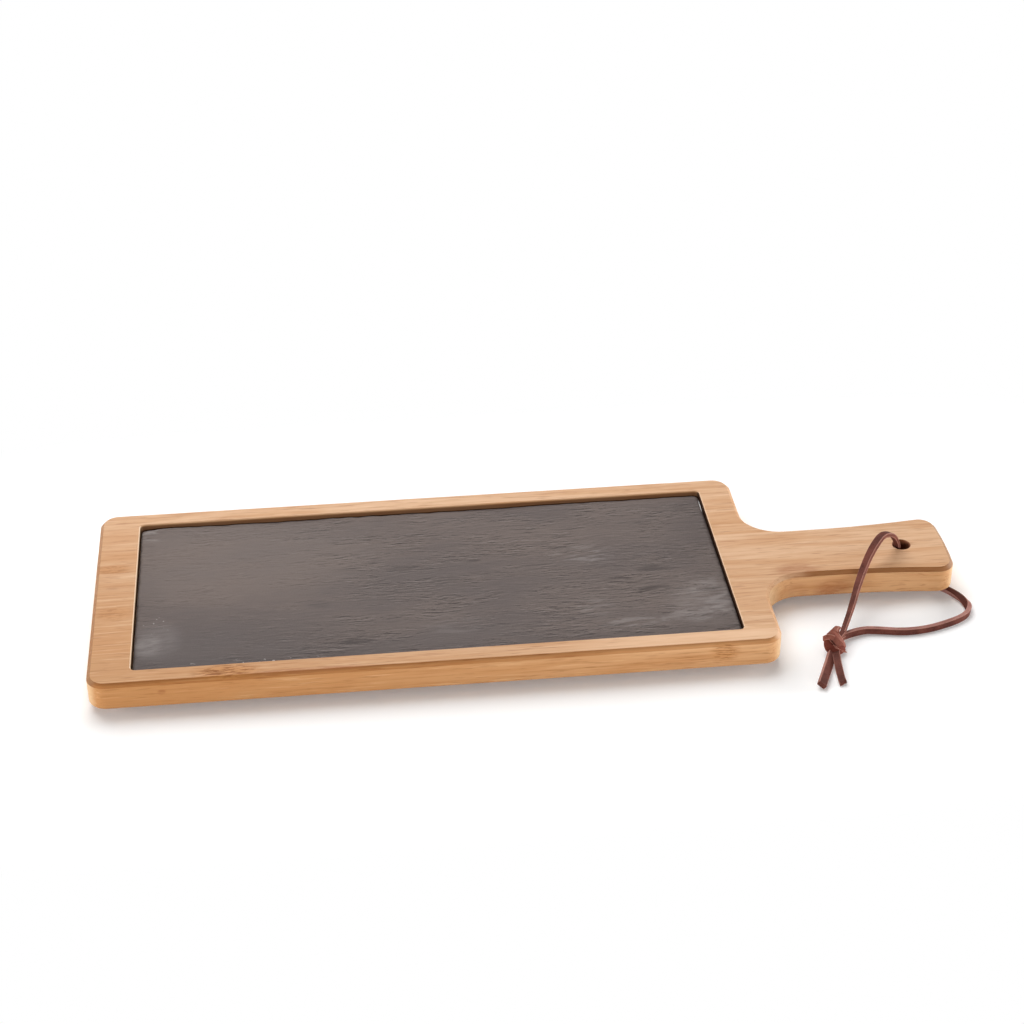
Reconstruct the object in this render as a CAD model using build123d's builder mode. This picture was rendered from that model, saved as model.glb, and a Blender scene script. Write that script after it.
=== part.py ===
from build123d import *
import os
from math import cos, radians, sin, tan

# A slate serving board. A flat bamboo board with a flared handle holds a loose slate plate in a
# recess, stands on four rubber feet, and has a knotted leather lace through its hanging hole.
# Millimetres. +X runs to the handle, +Z up, and the origin is on the ground under the middle of
# the board's box, so y = 0 is the board's centreline.

# Recess and slate
recess_length = 290.0
recess_width = 126.0
recess_corner = 2.6
recess_rim_ease = 0.4
slate_gap = 0.8
slate_thickness = 5.0
slate_drop = 2.2
slate_corner = 3.4
slate_edge = 0.7

# Bamboo board
board_thickness = 14.0
side_rail = 11.0
end_rail = 20.2
neck_rail = 17.0
body_corner = 9.0
top_bevel = 1.8
bottom_round = 1.5

# Handle: a straight neck, sides that flare to the end, and a slightly bowed end
handle_length = 98.0
neck_length = 32.0
neck_width = 41.0
neck_fillet = 19.0
handle_end_width = 49.6
handle_end_bow = 1.5
handle_end_corner = 8.5

# Hanging hole
hole_diameter = 8.6
hole_from_end = 22.8
hole_ease = 0.4

# Rubber feet, stuck to the underside
foot_diameter = 12.0
foot_height = 3.0
foot_edge = 0.6
foot_inset = 18.0

# Leather lace
lace_width = 3.6
lace_thickness = 2.4

# Knot: two bands of lace that cross, each (loop width, loop height, breadth, turn about Z)
knot_centre = (143.1, -59.3, 4.2)
knot_bands = ((13.0, 8.0, 5.4, 62.0), (11.8, 6.8, 5.0, -24.0))
knot_corner_share = 0.4

# Places worked out from the sizes above
body_length = end_rail + recess_length + neck_rail
body_width = recess_width + 2 * side_rail
overall_length = body_length + handle_length
x_left = -overall_length / 2
x_neck = x_left + body_length
x_end = overall_length / 2
x_body = (x_left + x_neck) / 2
x_recess = x_left + end_rail + recess_length / 2
x_hole = x_end - hole_from_end
z_under = foot_height
z_rim = z_under + board_thickness
z_slate_top = z_rim - slate_drop
z_recess = z_slate_top - slate_thickness

# The lace's routes. Both strands start where they meet, halfway up the hanging hole.
upper_route = (
    (188.2, -0.4, 10.0),
    (188.2, -0.4, 15.5),
    (186.2, -1.8, 21.0),
    (182.9, -5.3, 25.6),
    (180.0, -9.0, 28.4),
    (176.4, -12.2, 29.6),
    (172.4, -16.0, 28.2),
    (168.3, -19.4, 24.2),
    (164.2, -23.8, 19.0),
    (160.2, -30.3, 14.5),
    (156.1, -39.0, 10.5),
    (151.9, -47.2, 7.4),
    (147.4, -56.0, 5.6),
)
lower_route = (
    (188.2, -0.4, 10.0),
    (188.2, -0.4, 1.3),
    (198.1, -10.2, 1.3),
    (207.2, -17.0, 1.3),
    (212.4, -24.0, 1.3),
    (215.2, -30.5, 1.3),
    (216.0, -36.6, 1.3),
    (213.6, -41.9, 1.3),
    (208.9, -45.6, 1.3),
    (201.6, -49.0, 1.3),
    (191.2, -52.5, 1.3),
    (179.2, -53.6, 1.3),
    (167.6, -51.0, 1.3),
    (157.8, -49.7, 1.3),
    (148.0, -55.2, 2.2),
)
left_tail_route = (
    (142.1, -61.0, 1.7),
    (140.5, -65.6, 1.4),
    (137.6, -72.6, 1.3),
    (134.2, -80.5, 1.25),
    (131.3, -87.0, 1.25),
    (129.1, -92.1, 1.25),
)
right_tail_route = (
    (142.7, -63.0, 4.9),
    (141.3, -69.3, 4.6),
    (140.2, -76.1, 3.6),
    (139.9, -82.3, 2.1),
    (139.8, -86.9, 1.4),
    (139.9, -90.3, 1.25),
)


def bend_radii(route):
    """The largest arc that fits each corner of a route, from its shorter run and its turn."""
    points = [Vector(*point) for point in route]
    radii = []
    for before, here, after in zip(points, points[1:], points[2:]):
        run_in = here - before
        run_out = after - here
        half_turn = radians(run_in.get_angle(run_out)) / 2
        radii.append(0.45 * min(run_in.length, run_out.length) / tan(half_turn))
    return radii


def two_corners(sketch, x, y):
    """The corners of a sketch at (x, y) and (x, -y)."""
    return [v for v in sketch.vertices() if abs(v.X - x) < 0.01 and abs(abs(v.Y) - y) < 0.01]


os.makedirs("parts", exist_ok=True)

# Bamboo board with its handle, recess and hanging hole
with BuildPart() as bamboo_board:
    with BuildSketch(Plane.XY.offset(z_under)) as outline:
        with BuildLine():
            x_flare = x_neck + neck_length
            x_tip = x_end - handle_end_bow
            Polyline(
                (x_left, 0),
                (x_left, body_width / 2),
                (x_neck, body_width / 2),
                (x_neck, neck_width / 2),
                (x_flare, neck_width / 2),
            )
            TangentArc((x_flare, neck_width / 2), (x_tip, handle_end_width / 2), tangent=(1, 0))
            mirror(about=Plane.XZ)
            ThreePointArc((x_tip, handle_end_width / 2), (x_end, 0), (x_tip, -handle_end_width / 2))
        make_face()
        fillet(two_corners(outline, x_left, body_width / 2), body_corner)
        fillet(two_corners(outline, x_neck, body_width / 2), body_corner)
        fillet(two_corners(outline, x_neck, neck_width / 2), neck_fillet)
        fillet(two_corners(outline, x_tip, handle_end_width / 2), handle_end_corner)
    extrude(amount=board_thickness)
    chamfer(bamboo_board.faces().sort_by(Axis.Z)[-1].edges(), top_bevel)
    fillet(bamboo_board.faces().sort_by(Axis.Z)[0].edges(), bottom_round)
    with BuildSketch(Plane.XY.offset(z_rim)):
        with Locations((x_recess, 0)):
            RectangleRounded(recess_length, recess_width, recess_corner)
    extrude(amount=z_recess - z_rim, mode=Mode.SUBTRACT)
    with Locations((x_hole, 0, z_rim)):
        Hole(hole_diameter / 2)
    rim_face = bamboo_board.faces().filter_by(Axis.Z).sort_by(Axis.Z)[-1]
    under_face = bamboo_board.faces().filter_by(Axis.Z).sort_by(Axis.Z)[0]
    hole_edges = rim_face.edges().filter_by(GeomType.CIRCLE).filter_by(lambda e: e.is_closed)
    hole_edges += under_face.edges().filter_by(GeomType.CIRCLE).filter_by(lambda e: e.is_closed)
    recess_wire = rim_face.inner_wires().sort_by(Axis.X)[0]
    chamfer(hole_edges, hole_ease)
    chamfer(recess_wire.edges(), recess_rim_ease)
bamboo_board.part.label = "bamboo_board"
export_step(bamboo_board.part, "parts/bamboo_board.step")

# Slate plate, loose in the recess
with BuildPart() as slate_plate:
    with BuildSketch(Plane.XY.offset(z_recess)):
        with Locations((x_recess, 0)):
            RectangleRounded(
                recess_length - 2 * slate_gap,
                recess_width - 2 * slate_gap,
                slate_corner,
            )
    extrude(amount=slate_thickness)
    chamfer(slate_plate.faces().sort_by(Axis.Z)[-1].edges(), slate_edge)
slate_plate.part.label = "slate_plate"
export_step(slate_plate.part, "parts/slate_plate.step")

# Rubber feet under the body's four corners
foot_x = body_length / 2 - foot_inset
foot_y = body_width / 2 - foot_inset
foot_places = {
    "foot_front_left": (x_body - foot_x, -foot_y),
    "foot_front_right": (x_body + foot_x, -foot_y),
    "foot_back_left": (x_body - foot_x, foot_y),
    "foot_back_right": (x_body + foot_x, foot_y),
}
for name, place in foot_places.items():
    with BuildPart() as foot:
        with BuildSketch():
            with Locations(place):
                Circle(foot_diameter / 2)
        extrude(amount=foot_height)
        chamfer(foot.faces().sort_by(Axis.Z)[0].edges(), foot_edge)
    foot.part.label = name
    export_step(foot.part, f"parts/{name}.step")

# Leather lace: two strands of the loop and two tails, each with the way its flat side lies
lace_stretches = {
    "lace_upper_strand": (upper_route, (0.64, -0.77, 0)),
    "lace_lower_strand": (lower_route, (0.71, 0.71, 0)),
    "lace_left_tail": (left_tail_route, (0.96, -0.26, 0)),
    "lace_right_tail": (right_tail_route, (0.98, -0.21, 0)),
}
for name, (route, across) in lace_stretches.items():
    radii = bend_radii(route)
    with BuildPart() as stretch:
        with BuildLine() as path:
            FilletPolyline(*route, radius=radii)
        centreline = path.wire()
        with BuildSketch(Plane(origin=centreline @ 0, x_dir=across, z_dir=centreline % 0)) as section:
            Rectangle(lace_width, lace_thickness)
        sweep()
    stretch.part.label = name
    export_step(stretch.part, f"parts/{name}.step")
    swept = section.sketch.area * centreline.length
    print(f"{name}: length {centreline.length:.1f}, volume {stretch.part.volume:.1f} of {swept:.1f}")
    print("  radii", " ".join(f"{radius:.1f}" for radius in radii))

# Knot that ties the lace's two ends
with BuildPart() as lace_knot:
    for loop_width, loop_height, breadth, turn in knot_bands:
        along = (cos(radians(turn)), sin(radians(turn)), 0)
        across = (-sin(radians(turn)), cos(radians(turn)), 0)
        with BuildSketch(Plane(origin=knot_centre, x_dir=across, z_dir=along)):
            RectangleRounded(loop_width, loop_height, knot_corner_share * loop_height)
        extrude(amount=breadth / 2, both=True)
lace_knot.part.label = "lace_knot"
export_step(lace_knot.part, "parts/lace_knot.step")
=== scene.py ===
import math
import bpy
from mathutils import Matrix, Vector, noise


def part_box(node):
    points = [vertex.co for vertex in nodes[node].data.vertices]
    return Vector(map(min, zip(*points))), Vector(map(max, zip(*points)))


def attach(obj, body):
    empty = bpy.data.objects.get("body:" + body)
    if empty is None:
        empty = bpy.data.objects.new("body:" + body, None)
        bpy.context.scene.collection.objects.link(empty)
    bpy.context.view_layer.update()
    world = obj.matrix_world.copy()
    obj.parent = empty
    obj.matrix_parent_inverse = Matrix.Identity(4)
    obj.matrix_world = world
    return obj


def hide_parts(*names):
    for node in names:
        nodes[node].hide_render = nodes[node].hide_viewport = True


# Looks of a slate serving board: bamboo, riven slate, rubber feet and a knotted leather lace.
# Metres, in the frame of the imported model. +X runs to the handle and the camera looks along +Y.

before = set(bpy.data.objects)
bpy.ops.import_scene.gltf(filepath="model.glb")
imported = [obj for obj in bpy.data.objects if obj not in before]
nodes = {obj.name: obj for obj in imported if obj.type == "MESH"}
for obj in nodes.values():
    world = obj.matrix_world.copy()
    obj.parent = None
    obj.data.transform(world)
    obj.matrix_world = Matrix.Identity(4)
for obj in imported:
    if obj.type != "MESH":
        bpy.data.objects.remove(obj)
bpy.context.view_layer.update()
slate_low, slate_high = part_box("slate_plate")
slate_middle = (slate_low + slate_high) / 2
slate_half = (slate_high - slate_low) / 2


def srgb(red, green, blue):
    """A colour from its sRGB bytes, as linear light with full alpha."""
    def linear(byte):
        share = byte / 255
        return share / 12.92 if share <= 0.04045 else ((share + 0.055) / 1.055) ** 2.4
    return (linear(red), linear(green), linear(blue), 1.0)


# Calls for shader nodes
SPOT_CORE = 0.35
FINE_NOISE = {"detail": 4.0, "roughness": 0.6}
ROUGH_NOISE = {"detail": 3.0, "roughness": 0.6}


class Shading:
    """A node tree, with short calls for the nodes that a look is made of."""

    def __init__(self, tree):
        self.tree = tree
        self.tree.nodes.clear()

    def add(self, kind, inputs=(), **settings):
        """A new node, with its settings, and its inputs by name or number."""
        node = self.tree.nodes.new(kind)
        for name, value in settings.items():
            setattr(node, name, value)
        for socket, value in dict(inputs).items():
            if isinstance(value, bpy.types.NodeSocket):
                self.tree.links.new(value, node.inputs[socket])
            else:
                node.inputs[socket].default_value = value
        return node

    def math(self, operation, *values):
        return self.add("ShaderNodeMath", enumerate(values), operation=operation).outputs[0]

    def product(self, first, *others):
        """All these values multiplied."""
        for other in others:
            first = self.math("MULTIPLY", first, other)
        return first

    def apart(self, value, middle=0.0):
        """How far a value lies from a middle, on either side of it."""
        return self.math("ABSOLUTE", self.math("SUBTRACT", value, middle))

    def besides(self, share):
        """What a share leaves of 1."""
        return self.math("SUBTRACT", 1.0, share)

    def fade(self, value, low, high, start=0.0, end=1.0):
        """A smooth step from start to end as the value goes from low to high."""
        return self.add("ShaderNodeMapRange", {
            "Value": value,
            "From Min": low,
            "From Max": high,
            "To Min": start,
            "To Max": end,
        }, interpolation_type="SMOOTHSTEP").outputs[0]

    def fall(self, value, low, high, end=0.0):
        """A smooth step from 1 down to end as the value goes from low to high."""
        return self.fade(value, low, high, start=1.0, end=end)

    def rays(self, first, *others):
        """1 for rays of these kinds, and 0 for all others."""
        path = self.add("ShaderNodeLightPath").outputs
        seen = path[f"Is {first} Ray"]
        for kind in others:
            seen = self.math("MAXIMUM", seen, path[f"Is {kind} Ray"])
        return seen


class Finish(Shading):
    """The shading of a new material, which depends on the place on the object."""

    def __init__(self, name):
        self.material = bpy.data.materials.new(name)
        self.material.use_nodes = True
        super().__init__(self.material.node_tree)
        self.place = self.add("ShaderNodeTexCoord").outputs["Object"]
        self.x, self.y, self.z = self.axes(self.place)

    def axes(self, vector):
        """The three parts of a vector."""
        return self.add("ShaderNodeSeparateXYZ", {0: vector}).outputs

    def joined(self, x, y, z):
        """A vector of three parts."""
        return self.add("ShaderNodeCombineXYZ", {0: x, 1: y, 2: z}).outputs[0]

    def vector(self, operation, *values):
        return self.add("ShaderNodeVectorMath", enumerate(values), operation=operation).outputs

    def grain(self, size, place=None, detail=2.0, roughness=0.5):
        """Noise from 0 to 1 whose grains are about this long in X, Y and Z."""
        counts = [1 / length for length in size]
        return self.add("ShaderNodeTexNoise", {
            "Vector": self.vector("MULTIPLY", place or self.place, counts)[0],
            "Scale": 1.0,
            "Detail": detail,
            "Roughness": roughness,
        }).outputs[0]

    def slope(self, size, place, reach):
        """How much fine noise with grains of this size rises over a reach in Y."""
        ahead = self.vector("ADD", place, (0.0, reach, 0.0))[0]
        here = self.grain(size, place, **FINE_NOISE)
        return self.math("SUBTRACT", self.grain(size, ahead, **FINE_NOISE), here)

    def spot(self, centre, reach):
        """1 round a place, falling to 0 at its reach in X, Y and Z."""
        counts = [1 / length for length in reach]
        offset = self.vector("SUBTRACT", self.place, centre)[0]
        scaled = self.vector("MULTIPLY", offset, counts)[0]
        distance = self.vector("LENGTH", scaled)["Value"]
        return self.fall(distance, SPOT_CORE, 1.0)

    def mix(self, share, first, second, blend="MIX"):
        """Two colours mixed, with share of the second."""
        return self.add(
            "ShaderNodeMix",
            {0: share, 6: first, 7: second},
            data_type="RGBA",
            blend_type=blend,
        ).outputs[2]

    def laid(self, colour, layer, *shares):
        """A colour under a layer, whose tone covers it by its strength and all the shares multiplied."""
        tone, strength = layer
        return self.mix(self.product(*shares, strength), colour, tone)

    def tinted(self, colour, tint, share):
        """A colour multiplied by a tint, by a share."""
        return self.mix(share, colour, tint, "MULTIPLY")

    def bump(self, height, distance, strength):
        return self.add("ShaderNodeBump", {
            "Height": height,
            "Distance": distance,
            "Strength": strength,
        }).outputs[0]

    def done(self, **inputs):
        """Ends in one surface shader, whose inputs are given with _ for each space."""
        shader = self.add("ShaderNodeBsdfPrincipled", {
            name.replace("_", " "): value for name, value in inputs.items()
        })
        self.add("ShaderNodeOutputMaterial", {"Surface": shader.outputs[0]})
        return self.material


# Bamboo
STRIP_WIDTH = 0.0225
STRIP_SHIFT = 0.0037
STRIP_TONE_STEP = 0.618
STRIP_TONE_START = 0.15
GLUE_LINE = 0.0004
# The strips grow browner and darker towards the front left: partly their own tone and partly painted
# shade.
SHADE_DRIFT_SLANT = 1.8
SHADE_DRIFT_REACH = 0.34
BAND_SIZE = (0.050, 0.0050, 0.0040)
FIBRE_SIZE = (0.032, 0.0018, 0.0013)
DASH_SIZE = (0.012, 0.0008, 0.0007)
STROKE_SIZE = (0.0050, 0.0009, 0.0006)
BLOT_SIZE = (0.010, 0.003, 0.003)
BAMBOO_PALE = srgb(213, 173, 138)
BAMBOO_WARM = srgb(190, 142, 98)

# Each layer has its tone, and how strongly it covers what is under it.
BAMBOO_LAYERS = {
    "band": (srgb(190, 138, 93), 0.52),
    "strip": (srgb(193, 141, 95), 0.48),
    "fibre": (srgb(170, 116, 74), 0.46),
    "pale fibre": (srgb(236, 203, 169), 0.32),
    "dash": (srgb(146, 93, 55), 0.46),
    "pale strip": (srgb(236, 196, 160), 0.45),
    "glue": (srgb(238, 206, 172), 0.25),
    # Painted light on the faces at both ends, over the paler grain of the ends.
    "lit end grain": (srgb(226, 194, 152), 0.60),
    "node": (srgb(190, 130, 72), 0.62),
    "stroke": (srgb(140, 86, 40), 1.0),
    "smudge": (srgb(158, 98, 60), 1.0),
    # Painted shade in the bore.
    "bore": (srgb(112, 58, 36), 0.90),
    # Painted shade on the recess walls, darkest on the right wall that faces left.
    "wall_shade": (srgb(84, 48, 27), 0.80),
    "right wall": (srgb(50, 26, 17), 0.88),
    # Painted highlight on the chamfer of the recess rim.
    "rim": (srgb(246, 222, 194), 0.75),
}

# Over which values of its pattern each layer comes up
BAND_RANGE = (0.38, 0.66)
FIBRE_RANGE = (0.50, 0.72)
PALE_FIBRE_RANGE = (0.44, 0.28)
DASH_RANGE = (0.57, 0.74)
STROKE_RANGE = (0.45, 0.58)
BLOT_RANGE = (0.35, 0.60)
BLOT_LEAST = 0.4

# Which parts of a face's normal tell one kind of face from another
TOP_TILT = (0.80, 0.95)
SIDE_TILT = (0.20, 0.55)
SLANT_TILT = (0.40, 0.60)
BEVEL_TILT = (0.38, 0.62)
LIT_END_TILT = (0.45, 0.90)
END_BEVEL_TILT = (0.30, 0.60)
RIGHT_WALL_TILT = (-0.9, -0.5)
FAR_RIM_HIGHLIGHT_TILT = (-0.5, -0.2)
RIGHT_RIM_HIGHLIGHT_TILT = (-0.6, -0.2)
RIGHT_RIM_HIGHLIGHT_SHARE = 0.45

# Tints of painted shade: the sides, over their own warmer tone; the bevels, darkest at their top edge
# and on the handle; and the bevels at both ends, greyer.
SIDE_SHADE_TINT = (1.0, 0.92, 0.76, 1.0)
BEVEL_SHADE_TINT = (0.84, 0.68, 0.47, 1.0)
DEEP_SHADE_TINT = (0.50, 0.36, 0.23, 1.0)
END_BEVEL_SHADE_TINT = (0.62, 0.58, 0.55, 1.0)

# Where the parts of the board begin and end: the neck's hollows, the bevels' darkest painted shade, the
# two ends, the bore's edge, the painted shade on the recess wall, and the recess's rim as seen from the
# slate's edge
HOLLOW_START = (0.108, 0.114)
HOLLOW_END = (0.128, 0.142)
HOLLOW_SIDE = (0.045, 0.055)
DEEP_SHADE_HEIGHT = (0.0158, 0.0168)
DEEP_SHADE_HEIGHT_SHARE = 0.7
DEEP_SHADE_HANDLE = (0.118, 0.140)
FAR_ENDS = (0.194, 0.202)
HOLE_PLACE = (0.1898, 0.0, 0.0)
BORE_EDGE = (0.0044, 0.0049)
WALL_SHADE_HEIGHT = (0.0156, 0.0167)
WALL_SHADE_TOP_SHARE = 0.25
RIM_EDGE = (0.0014, 0.0018)

# Each mark is a place, its reach, and its strength.
NODE_MARKS = (
    ((-0.1480, -0.0690, 0.017), (0.020, 0.0070, 0.004), 1.0),
    ((-0.1280, -0.0712, 0.017), (0.022, 0.0022, 0.003), 0.30),
    ((-0.2040, 0.0230, 0.017), (0.011, 0.0060, 0.004), 0.42),
    ((-0.2020, -0.0160, 0.017), (0.012, 0.0080, 0.004), 0.38),
    ((0.0860, -0.0740, 0.012), (0.009, 0.004, 0.007), 0.65),
    ((-0.060, 0.071, 0.010), (0.010, 0.006, 0.008), 0.70),
    ((0.030, 0.020, 0.003), (0.012, 0.009, 0.002), 0.80),
    ((-0.120, -0.030, 0.003), (0.012, 0.009, 0.002), 0.80),
)
SMUDGES_AND_SHADE_LINE = (
    ((0.1330, -0.0165, 0.017), (0.015, 0.0080, 0.004), 0.58),
    ((0.1500, -0.0205, 0.007), (0.014, 0.005, 0.007), 0.75),
    # Painted shade: a dark line along the top of the front bevel.
    ((-0.1120, -0.0718, 0.0166), (0.042, 0.0022, 0.0026), 0.60),
    ((0.1330, -0.0220, 0.007), (0.008, 0.008, 0.007), 0.30),
    ((-0.1780, -0.0740, 0.0113), (0.0026, 0.002, 0.0018), 0.80),
)
PALE_STRIP = ((0.075, -0.0690, 0.017), (0.080, 0.0120, 0.006))


class Bamboo(Finish):
    """Flat strips along X, each with its own tone, fibres along it and a few culm nodes."""

    def __init__(self):
        super().__init__("bamboo")
        normal = self.add("ShaderNodeTexCoord").outputs["Normal"]
        self.endward, self.sideward, self.upward = self.axes(normal)
        self.top = self.fade(self.upward, *TOP_TILT)
        self.side = self.fall(self.upward, *SIDE_TILT)
        self.in_recess = self.product(
            self.within(self.x, slate_middle.x, slate_half.x),
            self.within(self.y, slate_middle.y, slate_half.y),
        )
        self.across = self.math("DIVIDE", self.math("ADD", self.y, STRIP_SHIFT), STRIP_WIDTH)
        self.chance = self.math("FRACT", self.math(
            "MULTIPLY_ADD", self.math("FLOOR", self.across), STRIP_TONE_STEP, STRIP_TONE_START))
        self.along = self.joined(self.math("ADD", self.x, self.chance), self.y, self.z)
        self.fibre = self.grain(FIBRE_SIZE, self.along, **ROUGH_NOISE)

    def within(self, value, middle, half):
        """1 in the recess, along one axis, as far as the outer edge of its rim."""
        low, high = (half + edge for edge in RIM_EDGE)
        return self.fall(self.apart(value, middle), low, high)

    def strips(self):
        """The colour of the strips, with bands, fibres and glue lines, browner and darker to the front
        left, partly their own tone and partly painted shade.
        """
        layers = BAMBOO_LAYERS
        band = self.grain(BAND_SIZE, self.along, detail=3.0)
        dash = self.grain(DASH_SIZE, self.along)
        shade_drift = self.math("SUBTRACT", self.math("MULTIPLY", self.y, -SHADE_DRIFT_SLANT), self.x)
        to_line = self.apart(self.math("FRACT", self.across), 0.5)
        glue = self.fade(to_line, 0.5 - GLUE_LINE / STRIP_WIDTH, 0.5)

        # Painted shade, over the strips' own tone: browner and darker towards the front left.
        colour = self.mix(self.fade(shade_drift, 0.0, SHADE_DRIFT_REACH), BAMBOO_PALE, BAMBOO_WARM)
        colour = self.laid(colour, layers["band"], self.fade(band, *BAND_RANGE))
        colour = self.laid(colour, layers["strip"], self.fade(self.chance, 0.0, 1.0))
        colour = self.laid(colour, layers["fibre"], self.fade(self.fibre, *FIBRE_RANGE))
        colour = self.laid(colour, layers["pale fibre"], self.fade(self.fibre, *PALE_FIBRE_RANGE))
        colour = self.laid(colour, layers["dash"], self.fade(dash, *DASH_RANGE))
        colour = self.laid(colour, layers["pale strip"], self.spot(*PALE_STRIP))
        return self.laid(colour, layers["glue"], glue, self.top)

    def edges(self, colour):
        """Sides warmer and darker, partly their own tone and partly painted shade; end faces paler,
        partly the grain of the ends and partly painted light; and bevels darkened with painted shade.
        """
        to_end = self.apart(self.endward)
        # Painted shade on the sides, over their own warmer tone.
        colour = self.tinted(colour, SIDE_SHADE_TINT, self.side)
        # Painted light: the faces at both ends paler, over the paler grain of the ends.
        lit_end = self.fade(to_end, *LIT_END_TILT)
        colour = self.laid(colour, BAMBOO_LAYERS["lit end grain"], self.side, lit_end)

        slanted = self.product(self.fade(self.upward, *SLANT_TILT), self.besides(self.top))
        hollow = self.product(
            self.fade(self.x, *HOLLOW_START),
            self.fall(self.x, *HOLLOW_END),
            self.fall(self.apart(self.y), *HOLLOW_SIDE),
        )
        bevel = self.product(
            slanted,
            self.fade(self.apart(self.sideward), *BEVEL_TILT),
            self.besides(hollow),
            self.besides(self.in_recess),
        )
        # Painted shade on the bevels that face front and back, darkest at their top edge and on the
        # handle.
        deep_shade_top = self.fade(self.z, *DEEP_SHADE_HEIGHT, end=DEEP_SHADE_HEIGHT_SHARE)
        deep_shade = self.math("MAXIMUM", deep_shade_top, self.fade(self.x, *DEEP_SHADE_HANDLE))
        colour = self.tinted(colour, self.mix(deep_shade, BEVEL_SHADE_TINT, DEEP_SHADE_TINT), bevel)
        # Painted shade: the bevels at both ends greyer.
        end_bevel_shade = self.product(
            slanted,
            self.fade(to_end, *END_BEVEL_TILT),
            self.fade(self.apart(self.x), *FAR_ENDS),
        )
        return self.tinted(colour, END_BEVEL_SHADE_TINT, end_bevel_shade)

    def marks(self, colour):
        """Culm nodes with short dark strokes, brown smudges, and a painted shade line along the top of
        the front bevel.
        """
        strokes = self.fade(self.grain(STROKE_SIZE, **ROUGH_NOISE), *STROKE_RANGE)
        for centre, reach, strength in NODE_MARKS:
            mark = self.product(self.spot(centre, reach), strength)
            colour = self.laid(colour, BAMBOO_LAYERS["node"], mark)
            colour = self.laid(colour, BAMBOO_LAYERS["stroke"], mark, strokes)
        blot = self.fade(self.grain(BLOT_SIZE, **ROUGH_NOISE), *BLOT_RANGE, start=BLOT_LEAST)
        for centre, reach, strength in SMUDGES_AND_SHADE_LINE:
            mark = self.product(self.spot(centre, reach), strength)
            colour = self.laid(colour, BAMBOO_LAYERS["smudge"], mark, blot)
        return colour

    def cuts(self, colour):
        """A bore darkened with painted shade, painted shade on the walls of the recess, and a painted
        highlight on its rim on all but its far side.
        """
        layers = BAMBOO_LAYERS
        flat = self.joined(self.x, self.y, 0.0)
        from_hole = self.vector("DISTANCE", flat, HOLE_PLACE)["Value"]
        # Painted shade darkens the bore.
        colour = self.laid(colour, layers["bore"], self.fall(from_hole, *BORE_EDGE))

        # Painted shade on the recess walls, strongest low down and darkest on the right wall.
        wall = self.product(self.in_recess, self.side)
        wall_shade = self.fall(self.z, *WALL_SHADE_HEIGHT, end=WALL_SHADE_TOP_SHARE)
        colour = self.laid(colour, layers["wall_shade"], wall, wall_shade)
        faces_left = self.fall(self.endward, *RIGHT_WALL_TILT)
        colour = self.laid(colour, layers["right wall"], wall, faces_left)

        # Painted highlight on the rim's chamfer, weaker on the right and none on the far side.
        slanted = self.math("SUBTRACT", self.in_recess, self.math("MAXIMUM", self.side, self.top))
        rim = self.product(
            self.math("MAXIMUM", slanted, 0.0),
            self.fade(self.sideward, *FAR_RIM_HIGHLIGHT_TILT),
            self.fade(self.endward, *RIGHT_RIM_HIGHLIGHT_TILT, start=RIGHT_RIM_HIGHLIGHT_SHARE),
        )
        return self.laid(colour, layers["rim"], rim)

    def finished(self):
        return self.done(
            Base_Color=self.cuts(self.marks(self.edges(self.strips()))),
            Roughness=self.fade(self.fibre, 0.2, 0.8, start=0.52, end=0.62),
            Specular_IOR_Level=0.18,
            Normal=self.bump(self.fibre, distance=0.00005, strength=0.4),
        )


# Riven slate
CLOUD_SIZE = (0.060, 0.026, 0.026)
PATCH_SIZE = (0.030, 0.014, 0.014)
SWAY_SIZE = (0.030, 0.016, 0.016)
SWAY = 0.006
STREAK_SIZE = (0.020, 0.0022, 0.0022)
LEDGE_SIZE = (0.010, 0.0018, 0.0018)
LEDGE_REACH = 0.0006
HAIR_SIZE = (0.006, 0.0010, 0.0010)
HAIR_REACH = 0.0004
SMEAR_SIZE = (0.012, 0.0028, 0.0028)
FLECK_SIZE = (0.0021, 0.0019, 0.0019)
GRIT_SIZE = (0.0009, 0.0007, 0.0007)
GRIT_SHARE = 0.30
RAGGED_SIZE = (0.005, 0.005, 0.005)
RAGGED = 0.0016
EDGE_TONE_AND_SHADE_LINE = (-0.0002, 0.0007)
SLATE_DARK = srgb(87, 76, 73)
SLATE_LIGHT = srgb(106, 94, 89)
SLATE_LAYERS = {
    "pale corner": (srgb(121, 108, 101), 0.40),
    "dark corner": (srgb(80, 71, 69), 0.45),
    # Painted shade and painted light on the two sides of ledges and hairlines.
    "ledge": (srgb(48, 41, 39), 0.80),
    "pale ledge": (srgb(150, 139, 134), 0.32),
    "hair": (srgb(46, 39, 37), 0.75),
    "pale hair": (srgb(156, 145, 140), 0.26),
    "shade": (srgb(62, 54, 52), 0.45),
    # The sawn edge's own darker tone together with painted shade from the gap beside it.
    "edge": (srgb(42, 30, 25), 0.78),
    "bloom": (srgb(180, 172, 169), 1.0),
    "streak": (srgb(58, 50, 48), 1.0),
    "scuff": (srgb(186, 179, 176), 1.0),
    "speck": (srgb(190, 184, 180), 1.0),
    "glint": (srgb(228, 225, 223), 1.0),
}

# Over which values of its pattern each layer comes up
CLOUD_RANGE = (0.32, 0.68)
LEDGE_SHADE_RANGE = (0.05, 0.14)
LEDGE_HIGHLIGHT_RANGE = (-0.05, -0.17)
HAIR_SHADE_RANGE = (0.06, 0.16)
HAIR_HIGHLIGHT_RANGE = (-0.06, -0.18)
SHADE_RANGE = (0.54, 0.72)
BLOOM_RANGE = (0.30, 0.60)
BLOOM_LEAST = 0.4
STREAK_RANGE = (0.36, 0.56)
SCUFF_RANGE = (0.44, 0.64)
SPECK_RANGE = (0.67, 0.73)

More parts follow.
